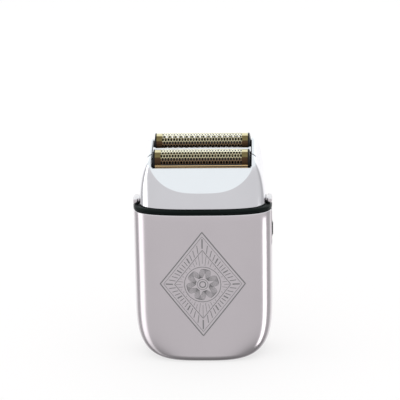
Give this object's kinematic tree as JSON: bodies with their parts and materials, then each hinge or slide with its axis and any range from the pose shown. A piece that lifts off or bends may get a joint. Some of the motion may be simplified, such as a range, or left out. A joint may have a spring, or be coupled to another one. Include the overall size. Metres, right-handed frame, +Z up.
{
  "type": "foil shaver",
  "caption": "Pocket foil shaver: flat metal body on a base, lift-off head with floating foils over reciprocating cutters, side slide switch and head release buttons.",
  "frame": {"origin": "centre of the base, at the bottom of the bounding box", "axes": "+X to the right seen from the front, +Y to the back, +Z up; the foils run along X and the deck leans to the front"},
  "size_m": [0.0612, 0.0315, 0.0981],
  "materials": {
    "satin_metal": "satin chrome plate",
    "bright_metal": "bright chrome plate",
    "gold_foil": "gold titanium coating on a perforated foil",
    "steel": "ground steel",
    "black_rubber": "semi-gloss moulded rubber",
    "black_plastic": "moulded",
    "grey_plastic": "moulded acetal",
    "circuit_board": "solder mask",
    "battery_wrap": "shrink sleeve",
    "clear_lens": "clear moulding",
    "red_wire": "wire insulation",
    "black_wire": "wire insulation"
  },
  "bodies": {
    "body": {"front_shell": "satin_metal", "rear_shell": "satin_metal", "seal_ring": "black_rubber", "chassis": "black_plastic", "battery_cell": "battery_wrap", "main_board": "circuit_board", "charge_board": "circuit_board", "charge_socket": "steel", "status_lens": "clear_lens", "motor_can": "steel", "motor_screw_1": "steel", "motor_screw_2": "steel", "chassis_screw_1": "steel", "chassis_screw_2": "steel", "chassis_screw_3": "steel", "chassis_screw_4": "steel", "switch_bezel": "satin_metal", "slide_switch": "grey_plastic", "motor_lead_positive": "red_wire", "motor_lead_negative": "black_wire", "battery_lead_positive": "red_wire", "battery_lead_negative": "black_wire", "button_spring_left": "steel", "button_spring_right": "steel"},
    "power_switch": {"switch_slider": "black_plastic", "switch_lever": "black_plastic"},
    "rotor": {"motor_shaft": "steel", "eccentric_cam": "black_plastic"},
    "release_left": {"release_button_left": "satin_metal"},
    "release_right": {"release_button_right": "satin_metal"},
    "head": {"head_housing": "bright_metal", "head_frame": "black_plastic", "guide_rod_front": "steel", "guide_rod_rear": "steel", "foil_cassette": "black_plastic", "centre_bar": "bright_metal", "foil_spring_front_left": "steel", "foil_spring_front_right": "steel", "foil_spring_rear_left": "steel", "foil_spring_rear_right": "steel"},
    "foil_front_unit": {"foil_front": "gold_foil", "foil_cap_front_left": "black_plastic", "foil_cap_front_right": "black_plastic"},
    "drive_front": {"carriage_front": "grey_plastic", "cutter_spring_front": "steel"},
    "cutter_front": {"cutter_holder_front": "grey_plastic", "cutter_blades_front": "steel"},
    "foil_rear_unit": {"foil_rear": "gold_foil", "foil_cap_rear_left": "black_plastic", "foil_cap_rear_right": "black_plastic"},
    "drive_rear": {"carriage_rear": "grey_plastic", "cutter_spring_rear": "steel"},
    "cutter_rear": {"cutter_holder_rear": "grey_plastic", "cutter_blades_rear": "steel"}
  },
  "joints": [
    {"name": "switch_slide", "type": "slide", "parent": "body", "child": "power_switch", "axis": [0, 0, 1], "range_m": [0, 0.004]},
    {"name": "motor_spin", "type": "hinge", "parent": "body", "child": "rotor", "pos_m": [0, 0, 0.07], "axis": [0, 0, 1], "continuous": true},
    {"name": "release_left_press", "type": "slide", "parent": "body", "child": "release_left", "axis": [1, 0, 0], "range_m": [0, 0.0015], "stiffness_N_per_m": 1500, "springref_m": -0.002},
    {"name": "release_right_press", "type": "slide", "parent": "body", "child": "release_right", "axis": [-1, 0, 0], "range_m": [0, 0.0015], "stiffness_N_per_m": 1500, "springref_m": -0.002},
    {"name": "head_lift", "type": "slide", "parent": "body", "child": "head", "axis": [0, 0, 1], "range_m": [0, 0.03]},
    {"name": "foil_front_float", "type": "slide", "parent": "head", "child": "foil_front_unit", "axis": [0, -0.2957, 0.9553], "range_m": [-0.0015, 0], "stiffness_N_per_m": 600, "springref_m": 0.002},
    {"name": "drive_front_stroke", "type": "slide", "parent": "head", "child": "drive_front", "axis": [1, 0, 0], "range_m": [-0.0012, 0.0012], "stiffness_N_per_m": 400},
    {"name": "cutter_front_float", "type": "slide", "parent": "drive_front", "child": "cutter_front", "axis": [0, -0.2957, 0.9553], "range_m": [-0.0015, 0]},
    {"name": "foil_rear_float", "type": "slide", "parent": "head", "child": "foil_rear_unit", "axis": [0, -0.2957, 0.9553], "range_m": [-0.0015, 0], "stiffness_N_per_m": 600, "springref_m": 0.002},
    {"name": "drive_rear_stroke", "type": "slide", "parent": "head", "child": "drive_rear", "axis": [1, 0, 0], "range_m": [-0.0012, 0.0012], "stiffness_N_per_m": 400},
    {"name": "cutter_rear_float", "type": "slide", "parent": "drive_rear", "child": "cutter_rear", "axis": [0, -0.2957, 0.9553], "range_m": [-0.0015, 0]}
  ],
  "couplings": [
    {"joint": "cutter_front_float", "follows": "foil_front_float", "ratio": 1},
    {"joint": "cutter_rear_float", "follows": "foil_rear_float", "ratio": 1},
    {"joint": "drive_rear_stroke", "follows": "drive_front_stroke", "ratio": -1}
  ]
}
